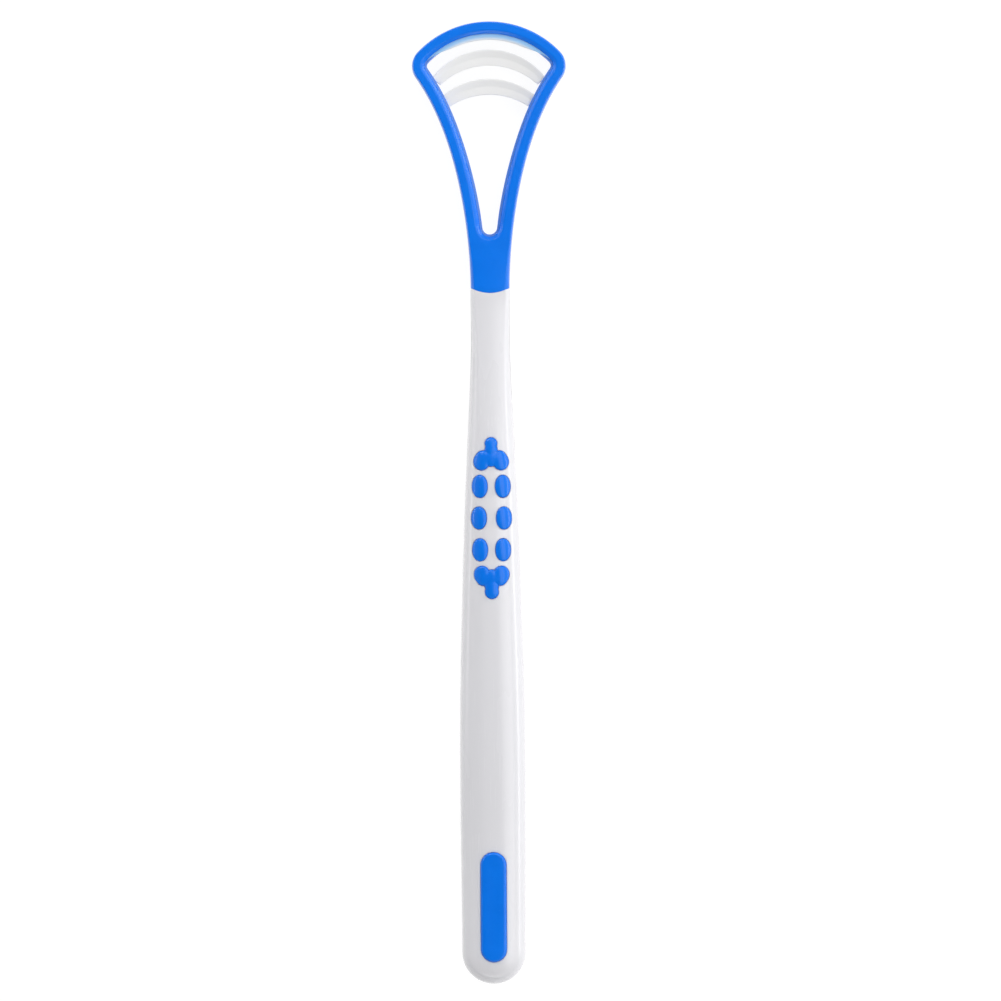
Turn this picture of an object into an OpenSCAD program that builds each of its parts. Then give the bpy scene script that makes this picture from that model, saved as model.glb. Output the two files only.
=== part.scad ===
// Tongue scraper: a white handle, a blue fan-shaped head with two arched blades, and inlaid grip pads.
// The tool lies on its back, head towards +Y. Outlines are drawn from the tail end at y = 0,
// and place() then puts the middle of the whole length at the origin.

/* [Handle] */
// Length from the tail end to the seam of the blue sleeve, measured at the sides
handle_l = 133.7; // [125:0.1:160]
// Width of the neck
neck_w = 7.5; // [7:0.1:9]
// Width in the middle of the grip pads
grip_w = 10.4; // [10:0.1:12]
// Width at the widest place of the handle
belly_w = 12.5; // [11:0.1:15]
// Width at the rounded tail
tail_w = 12.2; // [10:0.1:15]
// Thickness of the neck, just below the grip
neck_t = 5.4; // [4.8:0.1:7]
// Thickness at the grip and the belly, without the crown
belly_t = 8.6; // [7:0.1:11]
// Thickness at the tail
tail_t = 7.4; // [6:0.1:10]
// Distance from the tail end to the widest place
belly_y = 50; // [35:1:65]
// Distance from the tail end to the middle of the grip pads
grip_y = 89.6; // [80:0.1:95]
// Distance from the tail end to where the neck begins
neck_y = 120; // [110:1:122]
// How far the rounding of the back's edges reaches in from the sides
shoulder_w = 3; // [2.2:0.1:3.6]
// Extra height of the arched front along its middle
crown_h = 0.4; // [0.1:0.05:0.8]
// Height of the head's back above the surface that the handle lies on
head_lift = 1; // [0.4:0.1:2]
// Depth of the flat land that is cut along the handle's back
land_d = 0.15; // [0.05:0.05:0.4]

/* [Head] */
// Greatest width of the fan
fan_w = 29.6; // [26:0.1:34]
// Length of the solid blue sleeve, from the seam to the bottom of the opening
sleeve_l = 10.3; // [7.5:0.1:14]
// Length of the opening
opening_l = 38.1; // [34:0.1:44]
// Width of the bars round the opening
bar_w = 2.9; // [2.4:0.1:3.3]
// Width of the bars beside the opening's bottom
fork_bar_w = 3.1; // [2.9:0.1:3.4]
// Thickness of the head
head_t = 4.4; // [3.6:0.1:6]
// Radius of the arched top edge
top_r = 19; // [17:0.1:24]
// Radius of the outer corners
corner_r = 3.9; // [3.6:0.1:5]
// Angle at which the flared side runs into the corner
flare_angle = 35; // [25:1:42]
// How far the rounding of the outer edge reaches in
edge_w = 0.8; // [0.5:0.1:1.4]
// Width of the ledge along the inner edge of the bars
ledge_w = 0.55; // [0.2:0.05:0.7]
// Depth of that ledge below the face of the bars
ledge_d = 0.9; // [0.4:0.05:1.2]
// Width of the slope above the ledge
bevel_w = 0.75; // [0.3:0.05:1]
// Depth of that slope
bevel_d = 0.35; // [0.1:0.05:0.38]
// Bow of the seam towards the handle
seam_bow = 1; // [0.3:0.1:1.5]

/* [Skeleton] */
// Depth of the blue skin outside the skeleton
skin_w = 0.9; // [0.6:0.05:1]
// Width of the skeleton's bars
rod_w = 1.1; // [0.8:0.05:1.2]
// Thickness of the skeleton
rod_t = 2.2; // [1.6:0.1:2.4]
// Clearance between the skeleton and the blue skin
skin_gap = 0.02; // [0.01:0.01:0.05]
// Width of the tang
tang_w = 4.2; // [3:0.1:5]
// Length of the tang below the seam
tang_l = 15; // [8:0.5:18]

/* [Blades] */
// Radius of the arched blades
blade_r = 13.65; // [12:0.05:15]
// Width of a blade, measured along the tool
blade_w = 3.1; // [2:0.1:3.6]
// Thickness of a blade's web
blade_t = 1.5; // [1:0.1:2]
// Gap between the top bar and the upper blade
first_gap = 2.55; // [1.8:0.05:3.5]
// Gap between the two blades
blade_gap = 2.5; // [1.5:0.1:3.5]
// Width of the raised scraping edge
ridge_w = 0.5; // [0.3:0.05:0.9]
// Height of the raised scraping edge
ridge_h = 0.4; // [0.2:0.05:0.8]
// How far the thin lip stands out under the top bar
lip_w = 0.75; // [0.3:0.05:1.2]
// Radius of the lip's edge
lip_r = 14.8; // [13.5:0.05:16]
// Thickness of the lip, which also covers the ledge under the top bar
lip_t = 2.8; // [1:0.1:3.2]

/* [Grip pads] */
// Width of an oval pad
oval_w = 3.05; // [2.2:0.05:3.4]
// Length of an oval pad
oval_l = 4.4; // [3:0.1:5]
// Distance between the rows of ovals
oval_pitch = 6.07; // [5.2:0.05:7]
// Distance between the columns of ovals, outer rows
oval_spread = 4.42; // [3.8:0.05:4.8]
// Distance between the columns of ovals, middle row
oval_mid_spread = 4.8; // [4:0.05:5.2]
// Gap between the last row of ovals and a three-lobed pad
trefoil_gap = 0.88; // [0.3:0.02:1.5]
// Length of a three-lobed pad
trefoil_l = 6.3; // [5.9:0.1:7]
// Radius of the two side lobes
lobe_r = 1.5; // [1.3:0.02:1.6]
// Distance between the centres of the side lobes
lobe_spread = 3.75; // [3.3:0.05:4.2]
// Width of the upper pad's stem
stem_w_upper = 2.6; // [1.8:0.1:2.9]
// Width of the lower pad's stem
stem_w_lower = 2.8; // [1.8:0.1:2.9]
// Depth of a pad's pocket
pad_depth = 1.2; // [0.8:0.1:1.6]
// Height of a pad's rim above the handle
pad_rim = 0.12; // [0.05:0.01:0.3]
// Height of a pad's dome above its rim
dome_h = 0.38; // [0.1:0.01:0.8]
// Diameter of the stubs that anchor the pads
stub_d = 1.3; // [0.8:0.1:1.6]
// Length of those stubs
stub_l = 1.6; // [0.8:0.1:2.4]

/* [Tail inlay] */
// Width of the inlay
inlay_w = 5; // [3.6:0.1:6]
// Length of the inlay
inlay_l = 21.1; // [14:0.1:28]
// Distance from the tail end to the inlay
inlay_y = 4.4; // [4:0.1:10]
// Depth of the dished middle of the inlay
dish_d = 0.22; // [0.05:0.01:0.3]

/* [Hidden] */
$fn = 96;

// One overrun for every cut
over = 1;

// Whole length, from the pieces that make it up
overall_l = handle_l + sleeve_l + opening_l + bar_w;
head_z = head_lift + head_t / 2;

// Counts of points along the outlines and across the rounded edges
side_steps = 22;
corner_steps = 7;
top_steps = 9;
fork_steps = 6;
edge_steps = 10;
crown_steps = 3;
tail_steps = 9;
long_steps = 40;
dome_steps = 4;
trefoil_steps = 96;
oval_steps = 28;
inlay_steps = 8;

// Handles of the flared side's curve, as shares of its rise
flare_neck_share = 0.145;
flare_head_share = 0.4;
// Places along the flared side, from the seam at 0 to the corner at 1, between which the
// bars are widened beside the opening's bottom: fully at the first, and no more at the second
swell_full_share = 0.4;
swell_end_share = 0.75;
// Share of the grip's shoulder that is left where the neck begins
neck_shoulder_share = 1 / 3;
// Roundness of the arched front across the handle: 2 is an ellipse
front_power = 2.6;
// Shares of a lobe's radius: drop of the lobes' centres below the middle of a three-lobed pad,
// radius of that middle, and rise and radius of the pad's flanks
lobe_drop_share = 0.53;
hub_share = 1.06;
flank_rise_share = 0.06;
flank_share = 0.94;
// Place of the flanks as a share of the lobes' distance from the axis, and of the waist on the stem
flank_place_share = 0.84;
trefoil_waist_share = 0.62;
// Sharpness of the valleys between the lobes
lobe_power = 10;
// Roundness of the ovals: 2 is an ellipse
oval_power = 2.2;
// Shares of the inlay's width at which its rim ends, its dish is flat and its middle begins
dish_rim_share = 0.74;
dish_floor_share = 0.5;
dish_middle_share = 0.1;

module place() {
  translate([0, -overall_l / 2, 0]) children();
}

// Curves and blends

function mix(a, b, t) = a + (b - a) * t;
function smooth(t) = let (s = min(max(t, 0), 1)) s * s * (3 - 2 * s);
function mirrored(p) = [-p.x, p.y];
function reversed(list) = [for (i = [len(list) - 1 : -1 : 0]) list[i]];
function bezier(c, t) =
  pow(1 - t, 3) * c[0] + 3 * pow(1 - t, 2) * t * c[1] + 3 * (1 - t) * t * t * c[2] + pow(t, 3) * c[3];
function bezier_run(c, t) =
  pow(1 - t, 2) * (c[1] - c[0]) + 2 * (1 - t) * t * (c[2] - c[1]) + t * t * (c[3] - c[2]);

// Smooth curve through stations [y, value], level at both ends
function segment(table, y, i = 0) =
  i >= len(table) - 2 || y < table[i + 1][0] ? i : segment(table, y, i + 1);
function slope(table, i) =
  i == 0 || i == len(table) - 1 ? 0
  : (table[i + 1][1] - table[i - 1][1]) / (table[i + 1][0] - table[i - 1][0]);
function along(table, y) =
  let (
    i = segment(table, y),
    run = table[i + 1][0] - table[i][0],
    t = min(max((y - table[i][0]) / run, 0), 1)
  )
  mix(table[i][1], table[i + 1][1], smooth(t))
  + run * t * (1 - t) * ((1 - t) * slope(table, i) - t * slope(table, i + 1));

// Faces round stacked rings of n points each, listed upwards. With open at 1 the ends of each
// ring aren't joined
function walls(n, rings, open = 0) = [
  for (k = [0 : rings - 2], j = [0 : n - 1 - open])
    let (a = k * n + j, b = k * n + (j + 1) % n)
      each [[a, a + n, b + n], [a, b + n, b]]
];
// Faces across a ring that is the same on both sides of the axis, seen from below. The ring
// starts at index s, and begins on the axis if poles is 2, or beside it if poles is 1
function strip(n, s, poles = 1) = [
  for (j = [0 : (n + poles) / 2 - 2])
    let (
      mate = (n - 2 + poles - j) % n,
      next_mate = (n - 3 + poles - j) % n
    )
    each concat(
      next_mate == j + 1 ? [] : [[s + j, s + j + 1, s + next_mate]],
      mate == j ? [] : [[s + j, s + next_mate, s + mate]]
    )
];
function turned(faces) = [for (f = faces) reversed(f)];

// Form of the handle at a distance y from the tail end

half_width_at = [
  [tail_w / 2, tail_w / 2], [belly_y, belly_w / 2], [grip_y, grip_w / 2],
  [neck_y, neck_w / 2], [handle_l, neck_w / 2]
];
half_thick_at = [
  [tail_w / 2, tail_t / 2], [belly_y, belly_t / 2], [grip_y, belly_t / 2],
  [neck_y, neck_t / 2], [handle_l, head_t / 2]
];
shoulder_at = [
  [tail_w / 2, shoulder_w], [grip_y, shoulder_w],
  [neck_y, mix(edge_w, shoulder_w, neck_shoulder_share)], [handle_l, edge_w]
];

function half_w(y) = along(half_width_at, y);
function half_t(y) = along(half_thick_at, y);
function shoulder(y) = along(shoulder_at, y);
function to_neck(y) = smooth((y - grip_y) / (neck_y - grip_y));
function back_z(y) = mix(-land_d, head_lift, to_neck(y));
function mid_z(y) = back_z(y) + half_t(y);

// Distance of a plan point from the axis, and from the tail's centre where the tail is round
function reach(x, y) = y < tail_w / 2 ? norm([x, y - tail_w / 2]) : abs(x);

// Height of the front face over a plan point: arched on the handle, flat with rounded edges on the neck
function front_z(x, y) =
  let (
    r = reach(x, y),
    arched = (half_t(y) + crown_h) * pow(max(0, 1 - pow(r / half_w(y), front_power)), 1 / front_power),
    in_edge = max(0, 1 - (half_w(y) - r) / shoulder(y)),
    flat = half_t(y) * sqrt(max(0, 1 - pow(in_edge, 2)))
  )
  mid_z(y) + mix(arched, flat, to_neck(y));

// Handle outline, moved in by a share of the shoulder and then by a share of what is left:
// down the left side, round the tail and up the right side
long_y = [for (i = [0 : long_steps]) mix(tail_w / 2, handle_l + over, i / long_steps)];
function handle_x(y, inset, share) = share * (half_w(y) - inset * shoulder(y));
function handle_ring(inset, share = 1) =
  let (
    right = [for (y = long_y) [handle_x(y, inset, share), y]],
    r = handle_x(0, inset, share),
    tail = [for (i = [1 : 2 * tail_steps - 1]) let (a = 180 + 90 * i / tail_steps)
      [r * cos(a), tail_w / 2 + r * sin(a)]]
  )
  concat(reversed([for (p = right) mirrored(p)]), tail, right);

module handle_blank() {
  back = [for (k = [0 : edge_steps / 2]) let (a = mix(-90, 0, 2 * k / edge_steps))
    [for (p = handle_ring(1 - cos(a))) [p.x, p.y, mid_z(p.y) + half_t(p.y) * sin(a)]]];
  front = [for (k = [1 : edge_steps / 2])
    [for (p = handle_ring(1 - cos(180 * k / edge_steps))) [p.x, p.y, front_z(p.x, p.y)]]];
  middle = [for (k = [1 : crown_steps])
    [for (p = handle_ring(1, 1 - k / (crown_steps + 1))) [p.x, p.y, front_z(p.x, p.y)]]];
  rings = concat(back, front, middle);
  n = len(rings[0]);
  top_ring = (len(rings) - 1) * n;
  end_wall = concat(
    [for (k = [0 : len(rings) - 1]) k * n + n - 1],
    [for (k = [len(rings) - 1 : -1 : 0]) k * n]
  );
  polyhedron(
    points = [for (r = rings) each r],
    faces = concat(walls(n, len(rings), 1), strip(n, 0), turned(strip(n, top_ring)), [end_wall])
  );
}

// Plan of the fan

seam_y = handle_l;
fork_y = seam_y + sleeve_l;
inner_top_y = overall_l - bar_w;
arch_y = overall_l - top_r;
corner_x = fan_w / 2 - corner_r;
corner_y = arch_y + sqrt(pow(top_r - corner_r, 2) - pow(corner_x, 2));
corner_end = atan2(corner_y - arch_y, corner_x);
flare_end = [corner_x + corner_r * cos(flare_angle), corner_y - corner_r * sin(flare_angle)];
flare_rise = flare_end.y - seam_y;
flare = [
  [neck_w / 2, seam_y],
  [neck_w / 2, seam_y + flare_neck_share * flare_rise],
  flare_end - flare_head_share * flare_rise * [sin(flare_angle), cos(flare_angle)],
  flare_end
];

// Widening of the bars at place t of the flared side
function swell(t) = mix(1, fork_bar_w / bar_w,
  smooth(t / swell_full_share) * smooth((swell_end_share - t) / (swell_end_share - swell_full_share)));
// Point of the flared side, moved in from the edge by d
function flare_point(t, d) =
  let (v = bezier_run(flare, t))
  bezier(flare, t) + d * swell(t) * [-v.y, v.x] / norm(v);
// Where on the flared side, moved in by d, the height y lies
function flare_find(y, d, low = 0, high = 1, left = 24) =
  let (t = (low + high) / 2)
  left == 0 ? t
  : flare_point(t, d).y < y ? flare_find(y, d, t, high, left - 1)
  : flare_find(y, d, low, t, left - 1);
function inner_x(y) = flare_point(flare_find(y, bar_w), bar_w).x;

// Right half of the fan, from place t0 of its side up to the middle of the top, moved in by d
function fan_half(d, t0) = concat(
  [for (i = [0 : side_steps]) flare_point(mix(t0, 1, i / side_steps), d)],
  [for (i = [1 : corner_steps]) let (a = mix(-flare_angle, corner_end, i / corner_steps))
    [corner_x, corner_y] + (corner_r - d) * [cos(a), sin(a)]],
  [for (i = [1 : top_steps]) let (a = mix(corner_end, 90, i / top_steps))
    [0, arch_y] + (top_r - d) * [cos(a), sin(a)]]
);
// The whole ring, from a right half whose last point lies on the axis. Where the first
// point lies there too, its mirror is left out
function both_sides(half, first = 0) =
  concat(half, [for (i = [len(half) - 2 : -1 : first]) mirrored(half[i])]);

function fan_ring(d) = both_sides(concat([[neck_w / 2 - d, seam_y - seam_bow - over]], fan_half(d, 0)));

// Radius of the opening's round bottom: half of the space between the bars there
fork_guess = inner_x(fork_y);
fork_r = max(inner_x(fork_y + fork_guess), edge_w / 2);
fork_centre_y = fork_y + fork_r;
function opening_ring(d) =
  let (
    r = fork_r + bar_w - d,
    bottom = [for (i = [0 : fork_steps - 1]) let (a = -90 + 90 * i / fork_steps)
      [r * cos(a), fork_centre_y + r * sin(a)]]
  )
  both_sides(concat(bottom, fan_half(d, flare_find(fork_centre_y, d))), 1);

// Plan of what lies on the head's side of the bowed seam
seam_r = (pow(neck_w / 2, 2) + pow(seam_bow, 2)) / (2 * seam_bow);
module head_side() {
  translate([0, seam_y - seam_bow + seam_r]) {
    circle(seam_r);
    translate([-fan_w, 0]) square([2 * fan_w, overall_l]);
  }
}

module fan_blank() {
  rings = [for (k = [0 : edge_steps]) let (a = mix(-90, 90, k / edge_steps))
    [for (p = fan_ring(edge_w * (1 - cos(a)))) [p.x, p.y, head_z + head_t / 2 * sin(a)]]];
  n = len(rings[0]);
  polyhedron(
    points = [for (r = rings) each r],
    faces = concat(walls(n, len(rings)), strip(n, 0), turned(strip(n, edge_steps * n)))
  );
}

// The opening, stepped back at both faces by a ledge with a slope above it
module opening_cut() {
  face = head_t / 2;
  ledge = bar_w - ledge_w;
  upper = [
    [bar_w, face - ledge_d], [ledge, face - ledge_d], [ledge, face - bevel_d],
    [ledge - 2 * bevel_w, face + bevel_d]
  ];
  steps = concat([for (s = reversed(upper)) [s[0], -s[1]]], upper);
  n = len(opening_ring(bar_w));
  polyhedron(
    points = [for (s = steps) each [for (p = opening_ring(s[0])) [p.x, p.y, head_z + s[1]]]],
    faces = concat(walls(n, len(steps)), strip(n, 0, 2), turned(strip(n, (len(steps) - 1) * n, 2)))
  );
}

// Slab of the head's plan, t thick, with its middle at height z above the head's own middle
module head_slab(t, z = 0) {
  translate([0, 0, head_z + z - t / 2]) linear_extrude(t) children();
}

// Plan of the space between the skeleton's bars, drawn in by a gap
module within_skeleton(gap = 0) {
  polygon(opening_ring(skin_w + rod_w + gap));
}

module tang() {
  head_slab(rod_t) translate([-tang_w / 2, seam_y - tang_l]) square([tang_w, tang_l + sleeve_l / 2]);
}

// Bars of the skeleton, grown by a gap on every side and run past the seam by a length
module skeleton_bars(gap = 0, past = 0) {
  head_slab(rod_t + 2 * gap) difference() {
    intersection() {
      polygon(fan_ring(skin_w - gap));
      translate([0, -past]) head_side();
    }
    within_skeleton(gap);
  }
}

// Band between an arc whose crest is at y and the same arc w lower
module arc_band(y, w) {
  difference() {
    translate([0, y - blade_r]) circle(blade_r);
    translate([0, y - w - blade_r]) circle(blade_r);
  }
}

// Blade whose crest is at y: a web with a raised edge on its front, and one on its back
module blade(y) {
  head_slab(blade_t) intersection() {
    arc_band(y, blade_w);
    within_skeleton();
  }
  rise = blade_t / 2 + ridge_h;
  head_slab(rise, rise / 2) intersection() {
    arc_band(y, ridge_w);
    within_skeleton();
  }
  head_slab(rise, -rise / 2) intersection() {
    arc_band(y - blade_w + ridge_w, ridge_w);
    within_skeleton();
  }
}
upper_blade_y = inner_top_y - first_gap;
lower_blade_y = upper_blade_y - blade_w - blade_gap;

module lip() {
  crest = inner_top_y - lip_w;
  head_slab(lip_t) difference() {
    intersection() {
      within_skeleton();
      translate([-fan_w / 2, crest - lip_r]) square([fan_w, lip_r + bar_w]);
    }
    translate([0, crest - lip_r]) circle(lip_r);
  }
}

lobe_drop = lobe_drop_share * lobe_r;

// Inlaid pads. An outline is a list of [x, y] round the pad's centre, and a pad is built from
// rings of [x, y, rise above its rim], from its edge inwards

dome_shares = [for (k = [0 : dome_steps]) cos(90 * k / (dome_steps + 1))];

// Circles [x, y, radius] that make up a three-lobed pad; up is 1 where its stem points to the head
function trefoil_parts(stem_w, up) =
  let (stem_y = trefoil_l - lobe_drop - lobe_r - stem_w / 2)
  [
    [0, 0, hub_share * lobe_r],
    each [for (side = [-1, 1]) [side * lobe_spread / 2, -up * lobe_drop, lobe_r]],
    each [for (side = [-1, 1])
      [side * flank_place_share * lobe_spread / 2, up * flank_rise_share * lobe_r, flank_share * lobe_r]],
    [0, up * trefoil_waist_share * stem_y, stem_w / 2],
    [0, up * stem_y, stem_w / 2]
  ];
// How far such a circle reaches from the pad's centre at angle a
function lobe_reach(a, part) =
  let (
    d = norm([part.x, part.y]),
    off = a - atan2(part.y, part.x),
    m = pow(part.z, 2) - pow(d * sin(off), 2)
  )
  m < 0 || (d > part.z && cos(off) < 0) ? 0 : d * cos(off) + sqrt(m);
function power_sum(v, i = 0) = i == len(v) ? 0 : pow(v[i], lobe_power) + power_sum(v, i + 1);
function trefoil_outline(parts) = [for (i = [0 : trefoil_steps - 1])
  let (a = 360 * i / trefoil_steps)
  pow(power_sum([for (p = parts) lobe_reach(a, p)]), 1 / lobe_power) * [cos(a), sin(a)]];
// Each lobe swells to a dome of its own
function lobe_rise(p, parts) =
  dome_h * max([for (q = parts) sqrt(max(0, 1 - pow(norm([p.x - q.x, p.y - q.y]) / q.z, 2)))]);
function trefoil_centre(up) = [0, grip_y + up * (oval_pitch + oval_l / 2 + trefoil_gap + lobe_r + lobe_drop)];

function oval_outline() = [for (i = [0 : oval_steps - 1])
  let (
    c = cos(360 * i / oval_steps),
    s = sin(360 * i / oval_steps)
  )
  [oval_w / 2 * sign(c) * pow(abs(c), 2 / oval_power), oval_l / 2 * sign(s) * pow(abs(s), 2 / oval_power)]];
// Centre of the oval in a row from 1, nearest the head, to 3, on side -1 or 1
function oval_centre(side, row) =
  [side * (row == 2 ? oval_mid_spread : oval_spread) / 2, grip_y + (2 - row) * oval_pitch];

// Stadium drawn in to a share of its width
function inlay_outline(share = 1) =
  let (
    r = share * inlay_w / 2,
    run = (inlay_l - inlay_w) / 2
  )
  both_sides(concat(
    [for (i = [0 : inlay_steps]) let (a = -90 + 90 * i / inlay_steps) [r * cos(a), r * sin(a) - run]],
    [for (i = [1 : inlay_steps - 1]) [r, mix(-run, run, i / inlay_steps)]],
    [for (i = [0 : inlay_steps]) let (a = 90 * i / inlay_steps) [r * cos(a), r * sin(a) + run]]
  ), 1);
inlay_shares = concat(
  [for (k = [0 : dome_steps]) mix(1, dish_rim_share, k / dome_steps)],
  [for (k = [1 : dome_steps]) mix(dish_rim_share, dish_floor_share, k / dome_steps)],
  [for (k = [1 : 2]) mix(dish_floor_share, dish_middle_share, k / 2)]
);
function inlay_rise(share) =
  dome_h * sin(90 * min(1, (1 - share) / (1 - dish_rim_share)))
  - dish_d * smooth((dish_rim_share - share) / (dish_rim_share - dish_floor_share));
inlay_centre = [0, inlay_y + inlay_l / 2];
inlay_stubs = [[0, -inlay_l / 4], [0, inlay_l / 4]];

// Solid of a pad at centre c: its rings lie on the front face, and it goes down to its pocket's floor
module pad(rings, rise, c, stubs) {
  n = len(rings[0]);
  face_z = front_z(c.x, c.y);
  base = [for (p = rings[0]) [c.x + p.x, c.y + p.y, face_z - pad_depth]];
  shell = [for (r = rings, p = r)
    [c.x + p.x, c.y + p.y, front_z(c.x + p.x, c.y + p.y) + pad_rim + p.z]];
  crest = n * (len(rings) + 1);
  polyhedron(
    points = concat(base, shell, [
      [c.x, c.y, face_z + pad_rim + rise],
      [c.x, c.y, face_z - pad_depth]
    ]),
    faces = concat(
      walls(n, len(rings) + 1),
      [for (j = [0 : n - 1]) [j, (j + 1) % n, crest + 1]],
      [for (j = [0 : n - 1]) [crest - n + (j + 1) % n, crest - n + j, crest]]
    )
  );
  pad_stubs(stubs, c, pad_depth / 2);
}
// Stubs below the floor of the pocket at centre c, and up into it by a height
module pad_stubs(stubs, c, up) {
  for (p = stubs)
    translate([c.x + p.x, c.y + p.y, front_z(c.x, c.y) - pad_depth - stub_l])
      cylinder(h = stub_l + up, d = stub_d);
}
// What a pad takes out of the handle
module pad_space(outline, c, stubs) {
  translate([c.x, c.y, front_z(c.x, c.y) - pad_depth]) linear_extrude(pad_depth + belly_t) polygon(outline);
  pad_stubs(stubs, c, pad_depth / 2);
}

module trefoil_pad(stem_w, up) {
  parts = trefoil_parts(stem_w, up);
  pad(
    [for (s = dome_shares) [for (p = s * trefoil_outline(parts)) [p.x, p.y, lobe_rise(p, parts)]]],
    lobe_rise([0, 0], parts), trefoil_centre(up), trefoil_stubs(parts)
  );
}
function trefoil_stubs(parts) = [parts[1], parts[2], parts[6]];
module trefoil_space(stem_w, up) {
  parts = trefoil_parts(stem_w, up);
  pad_space(trefoil_outline(parts), trefoil_centre(up), trefoil_stubs(parts));
}
module oval_pad(side, row) {
  pad(
    [for (s = dome_shares) [for (p = s * oval_outline()) [p.x, p.y, dome_h * sqrt(1 - s * s)]]],
    dome_h, oval_centre(side, row), [[0, 0]]
  );
}

// Sub-parts

module handle_core() {
  color("white") place() difference() {
    handle_blank();
    translate([0, 0, -over]) linear_extrude(2 * belly_t) head_side();
    tang();
    translate([-belly_w, -over, -belly_t]) cube([2 * belly_w, overall_l, belly_t]);
    trefoil_space(stem_w_upper, 1);
    trefoil_space(stem_w_lower, -1);
    for (side = [-1, 1], row = [1 : 3]) pad_space(oval_outline(), oval_centre(side, row), [[0, 0]]);
    pad_space(inlay_outline(), inlay_centre, inlay_stubs);
  }
}

module head_skeleton() {
  color("whitesmoke") place() {
    skeleton_bars();
    tang();
  }
}

module head_cover() {
  color("royalblue") place() difference() {
    intersection() {
      fan_blank();
      head_slab(2 * head_t) head_side();
    }
    opening_cut();
    skeleton_bars(skin_gap, over);
    lip();
    blade(upper_blade_y);
    blade(lower_blade_y);
  }
}

module scraper_lip() {
  color("gainsboro") place() lip();
}

module scraper_blade_upper() {
  color("gainsboro") place() blade(upper_blade_y);
}

module scraper_blade_lower() {
  color("gainsboro") place() blade(lower_blade_y);
}

module grip_pad_upper() {
  color("royalblue") place() trefoil_pad(stem_w_upper, 1);
}

module grip_pad_lower() {
  color("royalblue") place() trefoil_pad(stem_w_lower, -1);
}

module grip_oval(side, row) {
  color("royalblue") place() oval_pad(side, row);
}

module tail_inlay() {
  color("royalblue") place() pad(
    [for (s = inlay_shares) [for (p = inlay_outline(s)) [p.x, p.y, inlay_rise(s)]]],
    inlay_rise(0), inlay_centre, inlay_stubs
  );
}

handle_core();
head_skeleton();
head_cover();
scraper_lip();
scraper_blade_upper();
scraper_blade_lower();
grip_pad_upper();
grip_pad_lower();
grip_oval(-1, 1);  // grip_oval_left_1
grip_oval(-1, 2);  // grip_oval_left_2
grip_oval(-1, 3);  // grip_oval_left_3
grip_oval(1, 1);  // grip_oval_right_1
grip_oval(1, 2);  // grip_oval_right_2
grip_oval(1, 3);  // grip_oval_right_3
tail_inlay();
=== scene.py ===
# Tongue scraper: a white moulded handle with blue grip pads, and a blue fan-shaped head
# that carries two pale arched blades. It lies on its back with the head towards +Y.
import math
import bpy
import bmesh
import numpy as np
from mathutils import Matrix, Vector


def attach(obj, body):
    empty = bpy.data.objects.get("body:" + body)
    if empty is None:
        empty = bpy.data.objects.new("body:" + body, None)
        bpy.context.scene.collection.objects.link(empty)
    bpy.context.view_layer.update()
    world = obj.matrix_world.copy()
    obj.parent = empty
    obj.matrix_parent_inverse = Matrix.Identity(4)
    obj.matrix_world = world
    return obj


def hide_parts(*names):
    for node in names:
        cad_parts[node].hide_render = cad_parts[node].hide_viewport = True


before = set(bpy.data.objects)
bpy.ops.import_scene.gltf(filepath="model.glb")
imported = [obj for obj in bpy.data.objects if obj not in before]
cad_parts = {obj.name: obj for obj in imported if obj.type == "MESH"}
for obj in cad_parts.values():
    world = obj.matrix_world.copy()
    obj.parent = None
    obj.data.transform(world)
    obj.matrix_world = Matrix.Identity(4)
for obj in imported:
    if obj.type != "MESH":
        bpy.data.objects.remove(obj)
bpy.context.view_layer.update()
mm = 0.001  # the part's sizes are in millimetres, and y starts at its tail end


# helpers for shapes

def mix(a, b, t):
    return a + (b - a) * t


def ease(t):
    t = np.clip(t, 0, 1)
    return t * t * (3 - 2 * t)


def through(stations, y):
    # smooth curve through (place, value) pairs, level at both ends
    places, values = np.array(stations, float).T
    slopes = np.zeros(len(places))
    slopes[1:-1] = (values[2:] - values[:-2]) / (places[2:] - places[:-2])
    i = np.clip(np.searchsorted(places, y, side="right") - 1, 0, len(places) - 2)
    run = places[i + 1] - places[i]
    t = np.clip((y - places[i]) / run, 0, 1)
    bend = run * t * (1 - t) * ((1 - t) * slopes[i] - t * slopes[i + 1])
    return mix(values[i], values[i + 1], ease(t)) + bend


def gridFaces(rows, columns, wrapRows=False, wrapColumns=False):
    faces = []
    for r in range(rows if wrapRows else rows - 1):
        for c in range(columns if wrapColumns else columns - 1):
            a, b = r * columns, (r + 1) % rows * columns
            d = (c + 1) % columns
            faces.append((a + c, a + d, b + d, b + c))
    return faces


def arcPoints(centre, radius, degrees):
    a = np.radians(degrees)[:, None]
    return np.array(centre) + radius * np.concatenate([np.cos(a), np.sin(a)], 1)


def toFrame(points):
    moved = np.asarray(points, float).reshape(-1, 3) - (0, whole["length"] / 2, 0)
    return moved * mm


def added(name, data):
    thing = bpy.data.objects.new(name, data)
    bpy.context.scene.collection.objects.link(thing)
    return thing


def makePiece(name, points, faces, sharpAngle=38):
    # closed mesh from points in millimetres, doubles merged, normals outwards, smooth but for real edges
    mesh = bpy.data.meshes.new(name)
    mesh.from_pydata([tuple(p) for p in toFrame(points)], [], faces)
    cleanMesh(mesh, sharpAngle)
    return added(name, mesh)


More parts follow.
